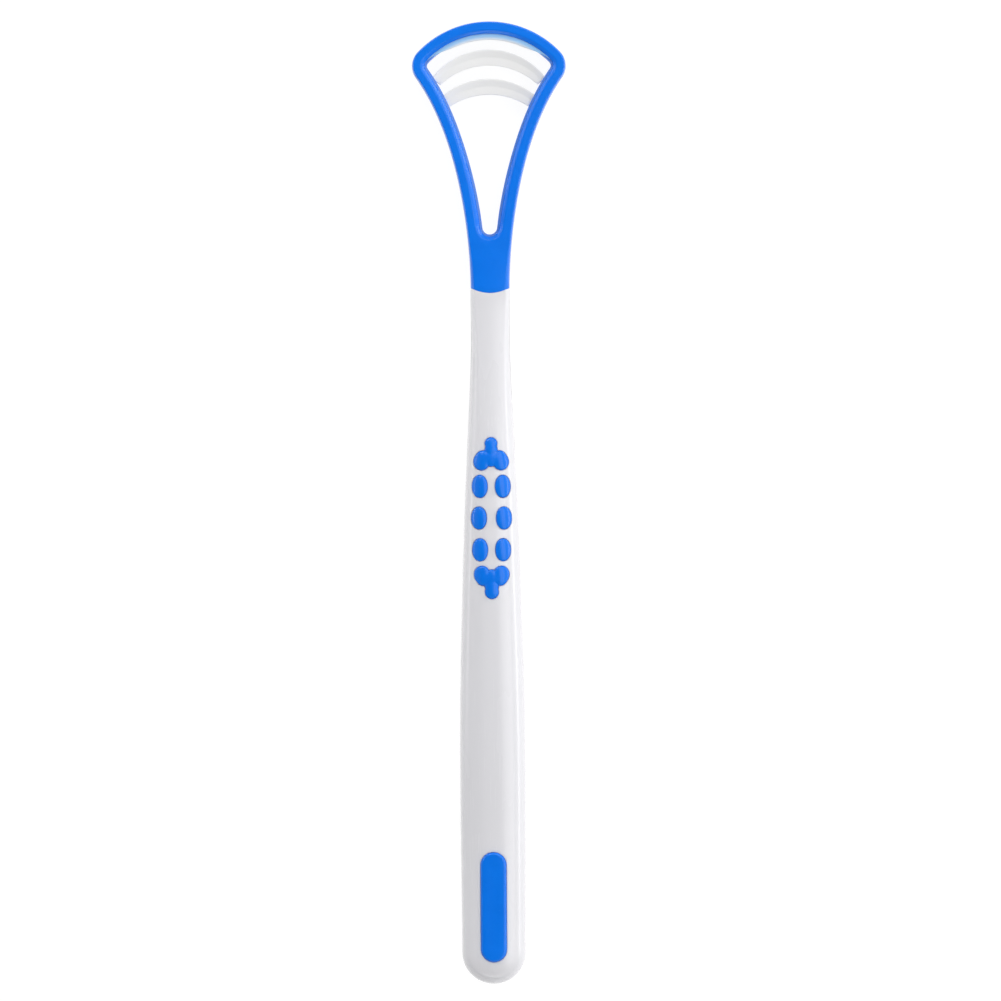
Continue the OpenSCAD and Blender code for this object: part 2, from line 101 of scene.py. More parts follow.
def cleanMesh(mesh, sharpAngle, merge=0.0004, least=0.0002):
    work = bmesh.new()
    work.from_mesh(mesh)
    bmesh.ops.remove_doubles(work, verts=work.verts, dist=merge * mm)
    bmesh.ops.dissolve_degenerate(work, edges=work.edges, dist=least * mm)
    bmesh.ops.recalc_face_normals(work, faces=work.faces)
    work.to_mesh(mesh)
    work.free()
    mesh.polygons.foreach_set("use_smooth", [True] * len(mesh.polygons))
    mesh.set_sharp_from_angle(angle=math.radians(sharpAngle))
    mesh.update()


def settle(piece, material, slot, *nodes):
    # finish, body, material slot of the record (not used), and the CAD nodes that the piece stands for
    piece.data.materials.clear()
    piece.data.materials.append(material)
    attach(piece, "root")
    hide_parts(*nodes)
    print("made", piece.name, len(piece.data.polygons), "faces")


def baked(holder, name, sharpAngle=38):
    # plain mesh from what the modifiers make; the modifiers go with the holder
    bpy.context.view_layer.update()
    graph = bpy.context.evaluated_depsgraph_get()
    mesh = bpy.data.meshes.new_from_object(holder.evaluated_get(graph))
    mesh.name = name
    bpy.data.objects.remove(holder)
    cleanMesh(mesh, sharpAngle)
    return added(name, mesh)


# node trees: sums on sockets, and one call for every other node

class Wire:
    def __init__(self, board, socket):
        self.board, self.socket = board, socket

    def sum(self, operation, first, second=0.0):
        return self.board.add("ShaderNodeMath", {"operation": operation}, {0: first, 1: second})

    def __add__(self, other):
        return self.sum("ADD", self, other)

    def __radd__(self, other):
        return self.sum("ADD", other, self)

    def __sub__(self, other):
        return self.sum("SUBTRACT", self, other)

    def __rsub__(self, other):
        return self.sum("SUBTRACT", other, self)

    def __mul__(self, other):
        return self.sum("MULTIPLY", self, other)

    def __rmul__(self, other):
        return self.sum("MULTIPLY", other, self)

    def __truediv__(self, other):
        return self.sum("DIVIDE", self, other)

    def __rtruediv__(self, other):
        return self.sum("DIVIDE", other, self)

    def root(self):
        return self.sum("SQRT", self)

    def size(self):
        return self.sum("ABSOLUTE", self)

    def sign(self):
        return self.sum("SIGN", self)

    def below(self, limit):
        return self.sum("LESS_THAN", self, limit)

    def above(self, limit):
        return self.sum("GREATER_THAN", self, limit)


class Board:
    def __init__(self, tree):
        self.tree = tree

    def find(self, sockets, key):
        if isinstance(key, int):
            return sockets[key]
        named = [s for s in sockets if s.identifier == key] or [s for s in sockets if s.name == key]
        return named[0]

    def add(self, kind, settings=None, sockets=None, out=0):
        node = self.tree.nodes.new(kind)
        for key, value in (settings or {}).items():
            if key == "stops":
                ramp = node.color_ramp.elements
                while len(ramp) < len(value):
                    ramp.new(0.5)
                for stop, (place, shade) in zip(ramp, value):
                    stop.position, stop.color = place, (shade, shade, shade, 1)
            else:
                setattr(node, key, value)
        for key, value in (sockets or {}).items():
            target = self.find(node.inputs, key)
            if isinstance(value, Wire):
                self.tree.links.new(value.socket, target)
            else:
                target.default_value = value
        return Wire(self, self.find(node.outputs, out)) if len(node.outputs) else node

    def join(self, **parts):
        return self.add("ShaderNodeCombineXYZ", {}, parts)

    def split(self, vector, axes="XYZ"):
        # one wire for each of the axes
        return [self.add("ShaderNodeSeparateXYZ", {}, {0: vector}, axis) for axis in axes]


# form of the handle

whole = {"length": 185.0}
head = {
    "fanWidth": 29.6, "sleeve": 10.3, "bar": 2.9, "forkBar": 3.1, "thickness": 4.4, "lift": 1.0,
    "topRadius": 19.0, "cornerRadius": 3.9, "flareAngle": 35.0, "edge": 0.8, "barEdge": 0.4, "arch": 0.12,
    "neckShare": 0.145, "headShare": 0.4, "swellFull": 0.4, "swellEnd": 0.75,
    "seamBow": 1.0, "seamRound": 0.14, "sharp": 42,
    # profile of the inner edge: (distance from the opening, depth below the face)
    "inner": [
        (0.0, 1.14), (0.02, 1.03), (0.07, 0.95), (0.15, 0.91), (0.27, 0.895), (0.37, 0.885), (0.43, 0.85),
        (0.465, 0.78), (0.485, 0.66), (0.505, 0.55), (0.53, 0.48), (0.57, 0.435), (0.64, 0.38),
        (0.74, 0.305), (0.84, 0.23), (0.94, 0.155), (1.03, 0.09), (1.11, 0.042), (1.20, 0.012), (1.32, 0.0),
    ],
    "forkSteps": 28, "sideSteps": 90, "cornerSteps": 22, "topSteps": 34, "edgeSteps": 16, "middleSteps": 9,
}
handle = {
    "length": 133.7, "neckWidth": 7.5, "gripWidth": 10.4, "bellyWidth": 12.5, "tailWidth": 12.2,
    "neckThick": 5.4, "bellyThick": 8.6, "tailThick": 7.4, "bellyY": 50.0, "gripY": 89.6, "neckY": 120.0,
    "shoulder": 3.0, "crown": 0.4, "power": 2.6, "neckArch": 0.36, "archRun": 4.0,
    "land": 0.15, "landSoft": 0.05, "seamGroove": 0.06, "seamReach": 0.25,
    # the mould's parting line: its height, its corners in degrees round the edge, and where it starts
    "parting": 0.018, "partingAngles": [-1.3, -0.8, 0, 0.8, 1.3], "partingFrom": 1.0, "partingRun": 6.0,
    "alongSteps": 260, "tailSteps": 26, "edgeSteps": 30, "faceSteps": 12, "sharp": 32,
}
headZ = head["lift"] + head["thickness"] / 2
tailR = handle["tailWidth"] / 2

# half widths, half thicknesses and shoulders at places along the handle
widthAt = [(tailR, tailR), (handle["bellyY"], handle["bellyWidth"] / 2),
           (handle["gripY"], handle["gripWidth"] / 2), (handle["neckY"], handle["neckWidth"] / 2),
           (handle["length"], handle["neckWidth"] / 2)]
thickAt = [(tailR, handle["tailThick"] / 2), (handle["bellyY"], handle["bellyThick"] / 2),
           (handle["gripY"], handle["bellyThick"] / 2), (handle["neckY"], handle["neckThick"] / 2),
           (handle["length"], head["thickness"] / 2)]
shoulderAt = [(tailR, handle["shoulder"]), (handle["gripY"], handle["shoulder"]),
              (handle["neckY"], mix(head["edge"], handle["shoulder"], 1 / 3)),
              (handle["length"], head["edge"])]


def toNeck(y):
    return ease((y - handle["gripY"]) / (handle["neckY"] - handle["gripY"]))


def middleZ(y):
    return mix(-handle["land"], head["lift"], toNeck(y)) + through(thickAt, y)


def frontZ(x, y):
    # height of the front over a plan point: arched on the handle, flat with rounded edges on the neck
    x, y = np.asarray(x, float), np.asarray(y, float)
    half, thick, power = through(widthAt, y), through(thickAt, y), handle["power"]
    reach = np.where(y < tailR, np.hypot(x, y - tailR), abs(x))
    arched = (thick + handle["crown"]) * (1 - np.clip(reach / half, 0, 1) ** power) ** (1 / power)
    inEdge = np.clip(1 - (half - reach) / through(shoulderAt, y), 0, 1)
    low = mix(head["arch"], handle["neckArch"], ease((handle["length"] - y) / handle["archRun"]))
    flat = thick * np.sqrt(1 - inEdge ** 2) - low * (reach / half) ** 2
    return middleZ(y) + mix(arched, flat, toNeck(y))


bowR = ((handle["neckWidth"] / 2) ** 2 + head["seamBow"] ** 2) / (2 * head["seamBow"])


def bowY(x):
    # the seam between white and blue, bowed towards the handle
    x = np.clip(abs(np.asarray(x, float)), 0, handle["neckWidth"] / 2)
    return handle["length"] - head["seamBow"] + bowR - np.sqrt(bowR ** 2 - x ** 2)


def handleRing(inset, share):
    # plan outline moved in by a share of the shoulder, then drawn in by a share of the rest
    def half(y):
        return share * (through(widthAt, y) - inset * through(shoulderAt, y))

    stop = bowY(half(np.array([handle["length"]])))[0]
    v = np.linspace(0, 1, handle["alongSteps"])
    y = mix(tailR, stop, v)
    right = np.stack([half(y), y], 1)
    turn = 180 + 90 * np.arange(1, 2 * handle["tailSteps"]) / handle["tailSteps"]
    tail = arcPoints((0, tailR), half(np.array([0.0]))[0], turn)
    left = right[::-1] * (-1, 1)
    return np.concatenate([left, tail, right])


def buildHandle():
    rings = []
    faceShares = np.linspace(0, 1, handle["faceSteps"] + 1)
    for share in faceShares[:-1]:  # the back, from its middle outwards
        p = handleRing(1, share)
        rings.append(np.column_stack([p, middleZ(p[:, 1]) - through(thickAt, p[:, 1])]))
    angles = list(np.linspace(-90, 90, 2 * handle["edgeSteps"] + 1))
    angles[handle["edgeSteps"]:handle["edgeSteps"] + 1] = handle["partingAngles"]
    for a in np.radians(angles):  # round the edge; the mould's parting line stands out at its middle
        p = handleRing(1 - math.cos(a), 1)
        if a == 0:
            away = np.column_stack([p[:, 0], np.minimum(p[:, 1] - tailR, 0)])
            away /= np.linalg.norm(away, axis=1)[:, None]
            grows = ease((p[:, 1] - handle["partingFrom"]) / handle["partingRun"])
            p = p + away * handle["parting"] * grows[:, None]
        if a > 0:
            rings.append(np.column_stack([p, frontZ(p[:, 0], p[:, 1])]))
        else:
            rings.append(np.column_stack([p, middleZ(p[:, 1]) + through(thickAt, p[:, 1]) * math.sin(a)]))
    for share in faceShares[:-1][::-1]:  # the middle of the front
        p = handleRing(1, share)
        rings.append(np.column_stack([p, frontZ(p[:, 0], p[:, 1])]))
    rings = np.array(rings)
    n, k = rings.shape[1], rings.shape[0]
    soft, height = handle["landSoft"], rings[:, :, 2]  # the back's flat land, with a soft edge
    levelled = soft * np.log1p(np.exp(np.clip(height / soft, -40, 40)))
    rings[:, :, 2] = np.where(height > 6 * soft, height, levelled)
    toSeam = bowY(rings[:, :, 0]) - rings[:, :, 1]
    seam = np.clip(1 - toSeam / handle["seamReach"], 0, 1)  # fine groove at the seam
    centre = middleZ(rings[:, :, 1])
    pull = 1 - seam ** 2 * handle["seamGroove"] / (head["thickness"] / 2)
    rings[:, :, 2] = centre + (rings[:, :, 2] - centre) * pull
    rings[:, :, 0] *= pull
    faces = gridFaces(k, n)
    for j in range(k // 2):  # end wall against the sleeve
        a, b, c, d = j, j + 1, k - 2 - j, k - 1 - j
        if b <= c:
            wall = (a, b, c, d) if b < c else (a, b, d)
            faces.append(tuple(i * n + n - 1 for i in wall))
            faces.append(tuple(i * n for i in wall[::-1]))
    return makePiece("handle_blank", rings, faces)


# pads: outlines, pockets and domes

pads = {
    "ovalWidth": 3.05, "ovalLength": 4.4, "ovalPower": 2.08, "pitch": 6.07, "spread": 4.42,
    "midSpread": 4.8, "drop": 0.1, "gap": 0.88, "length": 6.3, "lobe": 1.5, "lobeSpread": 3.75,
    "lobeDrop": 0.53 * 1.5, "hubShare": 1.06, "flankRise": 0.06 * 1.5, "flankShare": 0.94,
    "flankPlace": 0.84, "waistShare": 0.62, "lobePower": 10, "stemUpper": 2.4, "stemLower": 2.6,
    "depth": 1.2, "rim": 0.12, "dome": 0.38, "domePower": 6, "domeTop": 1.06, "smallest": 0.985,
    "clear": 0.03, "floorGap": 0.02, "footEdge": 0.08, "footShare": 0.96, "skirt": 0.12, "sharp": 50,
    # mouth of a pocket: (distance outwards, height over the face)
    "mouth": [(0, -0.16), (0.015, -0.08), (0.045, -0.035), (0.09, -0.008), (0.13, 0.0), (0.17, 0.4)],
}
inlay = {
    "width": 5.0, "length": 21.1, "y": 4.4, "dish": 0.08, "rimShare": 0.84, "floorShare": 0.1,
    "endStep": 0.05, "endPlace": 7.6, "endRun": 0.7, "footShare": 0.97,
    "edgeShare": 0.74, "middleShare": 0.46, "edgeSteps": 12, "middleSteps": 14, "innerSteps": 7,
}


def trefoilParts(stem, up):
    # circles that make up a three-lobed pad: hub, waist and end of the stem, then lobes and flanks
    stemY = pads["length"] - pads["lobeDrop"] - pads["lobe"] - stem / 2
    parts = [(0, 0, pads["hubShare"] * pads["lobe"]), (0, up * pads["waistShare"] * stemY, stem / 2),
             (0, up * stemY, stem / 2)]
    for x in (-pads["lobeSpread"] / 2, pads["lobeSpread"] / 2):
        parts.append((x, -up * pads["lobeDrop"], pads["lobe"]))
        parts.append((x * pads["flankPlace"], up * pads["flankRise"], pads["lobe"] * pads["flankShare"]))
    return np.array(parts)


def trefoilOutline(parts, steps=240):
    a = np.radians(np.arange(steps) * 360 / steps)[:, None]
    d = np.hypot(parts[:, 0], parts[:, 1])
    off = a - np.arctan2(parts[:, 1], parts[:, 0])
    m = parts[:, 2] ** 2 - (d * np.sin(off)) ** 2
    reach = d * np.cos(off) + np.sqrt(np.clip(m, 0, None))
    reach[(m < 0) | ((d > parts[:, 2]) & (np.cos(off) < 0))] = 0
    r = (reach ** pads["lobePower"]).sum(1, keepdims=True) ** (1 / pads["lobePower"])
    return r * np.concatenate([np.cos(a), np.sin(a)], 1)


def trefoilRise(p, parts):
    # each lobe swells to a dome of its own, and the domes run into each other softly
    gap = np.hypot(p[:, 0:1] - parts[:, 0], p[:, 1:2] - parts[:, 1]) / parts[:, 2]
    domes = np.sqrt(np.clip(1 - gap ** 2, 0, 1))
    merged = (domes ** pads["domePower"]).sum(1) ** (1 / pads["domePower"])
    return pads["dome"] * np.minimum(merged, pads["domeTop"])


def ovalOutline(steps=72):
    a = np.radians(np.arange(steps) * 360 / steps)
    c, s = np.cos(a), np.sin(a)
    x = pads["ovalWidth"] / 2 * np.sign(c) * abs(c) ** (2 / pads["ovalPower"])
    y = pads["ovalLength"] / 2 * np.sign(s) * abs(s) ** (2 / pads["ovalPower"])
    return np.stack([x, y], 1)


def stadium(share=1.0, steps=24, runSteps=30):
    r = share * inlay["width"] / 2
    run = (inlay["length"] - inlay["width"]) / 2
    low = arcPoints((0, -run), r, np.linspace(-90, 0, steps + 1))
    side = np.stack([np.full(runSteps - 1, r), np.linspace(-run, run, runSteps + 1)[1:-1]], 1)
    high = low[::-1] * (1, -1)
    right = np.concatenate([low, side, high])
    return np.concatenate([right, right[-2:0:-1] * (-1, 1)])


def outwards(outline, by):
    # outline moved out along its own normals
    run = np.roll(outline, -1, 0) - np.roll(outline, 1, 0)
    normal = np.stack([run[:, 1], -run[:, 0]], 1)
    return outline + by * normal / np.linalg.norm(normal, axis=1)[:, None]


def stack(rings, centreTop=None, closeTop=True):
    # closed solid from rings listed upwards; the ends are closed onto their middles
    rings = [np.asarray(r) for r in rings]
    n = len(rings[0])
    low, high = rings[0].mean(0), rings[-1].mean(0) if centreTop is None else np.asarray(centreTop)
    points = np.concatenate(rings + [low[None], high[None]])
    faces = gridFaces(len(rings), n, wrapColumns=True)
    last = (len(rings) - 1) * n
    for j in range(n):
        k = (j + 1) % n
        faces.append((len(rings) * n, k, j))
        if closeTop:
            faces.append((len(rings) * n + 1, last + j, last + k))
    return points, faces


def atHeight(outline, z, centre=(0, 0)):
    return np.column_stack([outline + centre, np.full(len(outline), z)])


def onFace(outline, centre, rise):
    x, y = outline[:, 0] + centre[0], outline[:, 1] + centre[1]
    return np.column_stack([x, y, frontZ(x, y) + rise])


def pocket(outline, centre):
    # what a pad's seat takes out of the handle, with a softened mouth
    floor = frontZ(*centre) - pads["depth"]
    rings = [atHeight(outline, floor, centre)]
    for out, rise in pads["mouth"]:
        rings.append(onFace(outwards(outline, out), centre, rise))
    return stack(rings)


grip = np.array([0, handle["gripY"] - pads["drop"]])  # middle of the ovals
trefoilY = pads["pitch"] + pads["ovalLength"] / 2 + pads["gap"] + pads["lobe"] + pads["lobeDrop"]
inlayCentre = np.array([0, inlay["y"] + inlay["length"] / 2])
upperParts, lowerParts = trefoilParts(pads["stemUpper"], 1), trefoilParts(pads["stemLower"], -1)


def cutPockets(blank):
    seats = [(trefoilOutline(upperParts), grip + (0, trefoilY)),
             (trefoilOutline(lowerParts), grip - (0, trefoilY)), (stadium(), inlayCentre)]
    for row in (-1, 0, 1):
        for side in (-1, 1):
            spread = pads["midSpread"] if row == 0 else pads["spread"]
            seats.append((ovalOutline(), grip + (side * spread / 2, row * pads["pitch"])))
    points, faces = [], []
    for outline, centre in seats:
        p, f = pocket(outline, centre)
        base = sum(len(q) for q in points)
        points.append(p)
        faces += [tuple(i + base for i in face) for face in f]
    cutter = makePiece("pocket_cutter", np.concatenate(points), faces)
    holder = added("pocket_holder", blank.data.copy())
    cut = holder.modifiers.new("pockets", "BOOLEAN")
    cut.operation, cut.solver, cut.object = "DIFFERENCE", "MANIFOLD", cutter
    piece = baked(holder, "handle", handle["sharp"])
    bpy.data.objects.remove(cutter)
    return piece


domeShares = np.cos(np.radians(np.linspace(2, 88, 22)))  # rings from a pad's edge to its middle


def trefoilPad(name, parts, centre):
    body = outwards(trefoilOutline(parts), -pads["clear"])
    floor = frontZ(*centre) - pads["depth"] + pads["floorGap"]
    rings = [atHeight(body * pads["footShare"], floor, centre),
             atHeight(body, floor + pads["footEdge"], centre), onFace(body, centre, -pads["skirt"])]
    for share in domeShares:
        p = body * share
        rings.append(onFace(p, centre, pads["rim"] + trefoilRise(p, parts)))
    middle = np.zeros((1, 2))
    top = onFace(middle, centre, pads["rim"] + trefoilRise(middle, parts))[0]
    points, faces = stack(rings, top)
    return makePiece(name, points, faces, pads["sharp"])


def inlayRise(share, y):
    rim = pads["dome"] * np.sin(np.radians(90 * np.minimum(1, (1 - share) / (1 - inlay["rimShare"]))))
    dish = inlay["dish"] * ease((inlay["rimShare"] - share) / (inlay["rimShare"] - inlay["floorShare"]))
    ends = inlay["endStep"] * ease((abs(y) - inlay["endPlace"]) / inlay["endRun"])
    return rim - dish * (1 - ends / inlay["dish"])


def buildInlay():
    clear = 1 - 2 * pads["clear"] / inlay["width"]
    foot, body = stadium(clear * inlay["footShare"]), stadium(clear)
    floor = frontZ(*inlayCentre) - pads["depth"] + pads["floorGap"]
    rings = [atHeight(foot, floor, inlayCentre), atHeight(body, floor + pads["footEdge"], inlayCentre),
             onFace(body, inlayCentre, -pads["skirt"])]
    edge, middle = inlay["edgeShare"], inlay["middleShare"]
    shares = np.concatenate([1 - (1 - edge) * np.linspace(0, 1, inlay["edgeSteps"]) ** 2,
                             np.linspace(edge, middle, inlay["middleSteps"])[1:],
                             np.linspace(middle, 0.0, inlay["innerSteps"])[1:]])
    for share in shares:
        p = stadium(share * clear)
        rings.append(onFace(p, inlayCentre, pads["rim"] + inlayRise(share, p[:, 1])))
    points, faces = stack(rings, closeTop=False)
    return makePiece("tail_inlay_blue", points, faces, pads["sharp"])


# plan of the fan

cornerX = head["fanWidth"] / 2 - head["cornerRadius"]
archY = whole["length"] - head["topRadius"]
cornerY = archY + math.sqrt((head["topRadius"] - head["cornerRadius"]) ** 2 - cornerX ** 2)
cornerEnd = math.degrees(math.atan2(cornerY - archY, cornerX))
seamY, forkY = handle["length"], handle["length"] + head["sleeve"]
topY = whole["length"] - head["bar"]  # top of the opening
lean = math.radians(head["flareAngle"])
flareEnd = np.array([cornerX, cornerY]) + head["cornerRadius"] * np.array([math.cos(lean), -math.sin(lean)])
flareRise = flareEnd[1] - seamY
flare = np.array([
    (handle["neckWidth"] / 2, seamY), (handle["neckWidth"] / 2, seamY + head["neckShare"] * flareRise),
    flareEnd - head["headShare"] * flareRise * np.array([math.sin(lean), math.cos(lean)]), flareEnd])


def flarePoint(t, d):
    # point of the flared side, moved in from the outer edge by d
    t = np.asarray(t, float)[..., None]
    s = 1 - t
    p = s ** 3 * flare[0] + 3 * s ** 2 * t * flare[1] + 3 * s * t * t * flare[2] + t ** 3 * flare[3]
    v = s ** 2 * (flare[1] - flare[0]) + 2 * s * t * (flare[2] - flare[1]) + t * t * (flare[3] - flare[2])
    side = np.stack([-v[..., 1], v[..., 0]], -1)
    full, end = head["swellFull"], head["swellEnd"]
    swell = ease(t / full) * ease((end - t) / (end - full))
    wide = mix(1, head["forkBar"] / head["bar"], swell)  # the bars are wider beside the opening's bottom
    return p + d * wide * side / np.linalg.norm(side, axis=-1, keepdims=True)


def flareFind(y, d, steps=4000):
    # where on the flared side that height is reached
    t = np.linspace(0, 1, steps + 1)
    return float(np.interp(y, flarePoint(t, d)[:, 1], t))


def upperHalf(d, start):
    # from a place of the flared side, round the corner, to the middle of the top
    side = flarePoint(np.linspace(start, 1, head["sideSteps"] + 1), d)
    turn = np.linspace(-head["flareAngle"], cornerEnd, head["cornerSteps"] + 1)[1:]
    over = np.linspace(cornerEnd, 90, head["topSteps"] + 1)[1:]
    return np.concatenate([side, arcPoints((cornerX, cornerY), head["cornerRadius"] - d, turn),
                           arcPoints((0, archY), head["topRadius"] - d, over)])


def bothSides(half):
    # closed loop from a right half that begins and ends on the axis
    return np.concatenate([half, half[-2:0:-1] * (-1, 1)])


forkGuess = flarePoint(flareFind(forkY, head["bar"]), head["bar"])[0]
forkR = max(flarePoint(flareFind(forkY + forkGuess, head["bar"]), head["bar"])[0], head["edge"] / 2)
forkCentre = forkY + forkR


def openingLoop(e):
    # loop at a distance e from the opening's edge, outside it
    d = head["bar"] - e
    bottom = arcPoints((0, forkCentre), forkR + e, np.linspace(-90, 0, head["forkSteps"] + 1)[:-1])
    return bothSides(np.concatenate([bottom, upperHalf(d, flareFind(forkCentre, d))]))


def outerLoop(d):
    # loop at a distance d inside the outer edge and the seam, point for point with openingLoop
    count = head["forkSteps"] // 2
    x = np.linspace(0, handle["neckWidth"] / 2 - d, count + 1)[:-1]
    seam = np.stack([x, bowY(x * (handle["neckWidth"] / 2) / (handle["neckWidth"] / 2 - d)) + d], 1)
    low, high = flareFind(seamY + d, d), flareFind(forkCentre, d)
    side = flarePoint(np.linspace(low, high, head["forkSteps"] - count + 1)[:-1], d)
    return bothSides(np.concatenate([seam, side, upperHalf(d, high)]))


def buildCover():
    rows = []  # (loop, half thickness at each of its points), from the opening outwards
    half = head["thickness"] / 2
    for e, depth in head["inner"]:
        loop = openingLoop(e)
        rows.append((loop, np.full(len(loop), half - depth)))
    outer = []  # the edge is tighter on the bars than on the sleeve
    for t in np.radians(np.linspace(90, 0, head["edgeSteps"] + 1)):
        soft, tight = [outerLoop(head[key] * (1 - math.cos(t))) for key in ("edge", "barEdge")]
        outer.append((mix(soft, tight, ease((soft[:, 1:] - seamY) / head["sleeve"])), math.sin(t)))
    inside, outside = rows[-1][0], outer[0][0]
    for i in range(1, head["middleSteps"]):
        loop = mix(inside, outside, i / head["middleSteps"])
        rows.append((loop, np.full(len(loop), half)))
    for loop, share in outer:
        rows.append((loop, np.full(len(loop), half * share)))
    grid = []
    for i, (loop, height) in enumerate(rows):
        x, y = loop.T
        nearSeam = (y < forkY) & (abs(x) < handle["neckWidth"])
        if i >= len(rows) - len(outer):  # along the seam the edge keeps its full section
            d = np.clip((handle["neckWidth"] / 2 - abs(x)) / head["edge"], 0, 1)
            section = half * np.sqrt(np.clip(1 - (1 - d) ** 2, 0, 1))
            seamPoints = np.arange(len(loop)) < head["forkSteps"] // 2
            seamPoints |= np.arange(len(loop)) > len(loop) - head["forkSteps"] // 2
            height = np.where(seamPoints, section, height)
        s = np.clip(1 - (y - bowY(x)) / head["seamRound"], 0, 1)
        drop = head["seamRound"] * (1 - np.sqrt(np.clip(1 - s ** 2, 0, 1)))
        height = np.where(nearSeam, np.maximum(height - drop, 0), height)
        grid.append(np.column_stack([x, y, height]))
    grid = np.array(grid)
    across = grid[..., 0] / (handle["neckWidth"] / 2)  # the sleeve's front is slightly arched
    arch = head["arch"] * across ** 2 * ease((forkY - grid[..., 1]) / head["sleeve"])
    front = grid + (0, 0, headZ)
    front[..., 2] -= arch * grid[..., 2] / half
    back = grid[::-1] * (1, 1, -1) + (0, 0, headZ)
    both = np.concatenate([front, back])
    faces = gridFaces(len(both), both.shape[1], wrapRows=True, wrapColumns=True)
    return makePiece("head_cover_blue", both, faces, head["sharp"])


# blades and lip, swept by Geometry Nodes

blades = {
    "radius": 13.65, "width": 3.1, "thick": 1.5, "firstGap": 2.55, "gap": 2.5, "ridgeWidth": 0.3,
    "ridgeHeight": 0.4, "ridgeFoot": 1.5, "round": 0.14, "draft": 0.2, "sunk": 0.6,
    "steps": 96, "sharp": 50, "firstSpan": 9.0, "tries": 20,  # the half span is found step by step
}
lip = {
    "width": 0.75, "radius": 15.6, "thick": 2.8, "round": 0.2, "roundSteps": 7, "draft": 0.3, "sunk": 0.85,
    "angle": 48.0, "steps": 96,
    "tuck": 1.2, "tuckFrom": 6.0, "tuckTo": 12.5,  # towards the corners the lip runs in under the bar
}


def rounded(corners, radius, steps=5, most=0.45):
    # closed outline with its corners rounded off, over at most that share of a side
    corners = np.array(corners, float)
    outline = []
    for i, corner in enumerate(corners):
        a, b = corners[i - 1] - corner, corners[(i + 1) % len(corners)] - corner
        la, lb = np.linalg.norm(a), np.linalg.norm(b)
        r = min(radius, la * most, lb * most)
        p, q = corner + a / la * r, corner + b / lb * r
        for t in np.linspace(0, 1, steps):
            outline.append((1 - t) ** 2 * p + 2 * t * (1 - t) * corner + t * t * q)
    return np.array(outline)


def profileCurve(name, outline):
    curve = bpy.data.curves.new(name, "CURVE")
    curve.dimensions = "2D"
    curve.fill_mode = "NONE"
    line = curve.splines.new("POLY")
    line.points.add(len(outline) - 1)
    for point, (u, v) in zip(line.points, outline):
        point.co = (u * mm, v * mm, 0, 1)
    line.use_cyclic_u = True
    return added(name, curve)


def newTree(name, inputs):
    tree = bpy.data.node_groups.new(name, "GeometryNodeTree")
    for label, kind in inputs.items():
        tree.interface.new_socket(label, in_out="INPUT", socket_type="NodeSocket" + kind)
    tree.interface.new_socket("Geometry", in_out="OUTPUT", socket_type="NodeSocketGeometry")
    board = Board(tree)
    board.source = tree.nodes.new("NodeGroupInput")
    return board


def given(board, label):
    return Wire(board, board.source.outputs[label])


def finishTree(board, geometry, material):
    solid = board.add("GeometryNodeRealizeInstances", {}, {"Geometry": geometry})
    done = board.add("GeometryNodeSetMaterial", {}, {"Geometry": solid, "Material": material})
    board.add("NodeGroupOutput", {}, {0: done})
    return board.tree


def grown(name, tree, values, start=None, sharpAngle=38):
    # runs a tree on a holder with the given inputs and keeps the result as a plain mesh
    mesh = bpy.data.meshes.new(name) if start is None else start
    holder = added(name + "_holder", mesh)
    maker = holder.modifiers.new(name, "NODES")
    maker.node_group = tree
    for item in tree.interface.items_tree:
        if item.in_out == "INPUT" and item.name in values:
            maker[item.identifier] = values[item.name]
    return baked(holder, name, sharpAngle)


def bladeTree(material):
    board = newTree("archedBlade", {
        "Profile": "Object", "Half span": "Float", "Radius": "Float", "Crest": "Float",
        "Height": "Float", "Slant": "Float", "Steps": "Int"})
    span = given(board, "Half span")
    ends = [board.join(X=span * s) for s in (-1, 1)]
    line = board.add("GeometryNodeCurvePrimitiveLine", {}, {"Start": ends[0], "End": ends[1]})
    line = board.add("GeometryNodeResampleCurve", {}, {"Curve": line, "Count": given(board, "Steps")})
    section = board.add("GeometryNodeObjectInfo", {}, {"Object": given(board, "Profile")}, "Geometry")
    bar = board.add("GeometryNodeCurveToMesh", {}, {
        "Curve": line, "Profile Curve": section, "Fill Caps": True})
    x, y, z = board.split(board.add("GeometryNodeInputPosition"))
    radius = given(board, "Radius")
    acrossX = x * (1 + y * given(board, "Slant"))  # the ends lean with the bars they run into
    drop = radius - (radius * radius - acrossX * acrossX).root()
    place = board.join(X=acrossX, Y=y + given(board, "Crest") - drop, Z=z + given(board, "Height"))
    bent = board.add("GeometryNodeSetPosition", {}, {"Geometry": bar, "Position": place})
    return finishTree(board, bent, material)


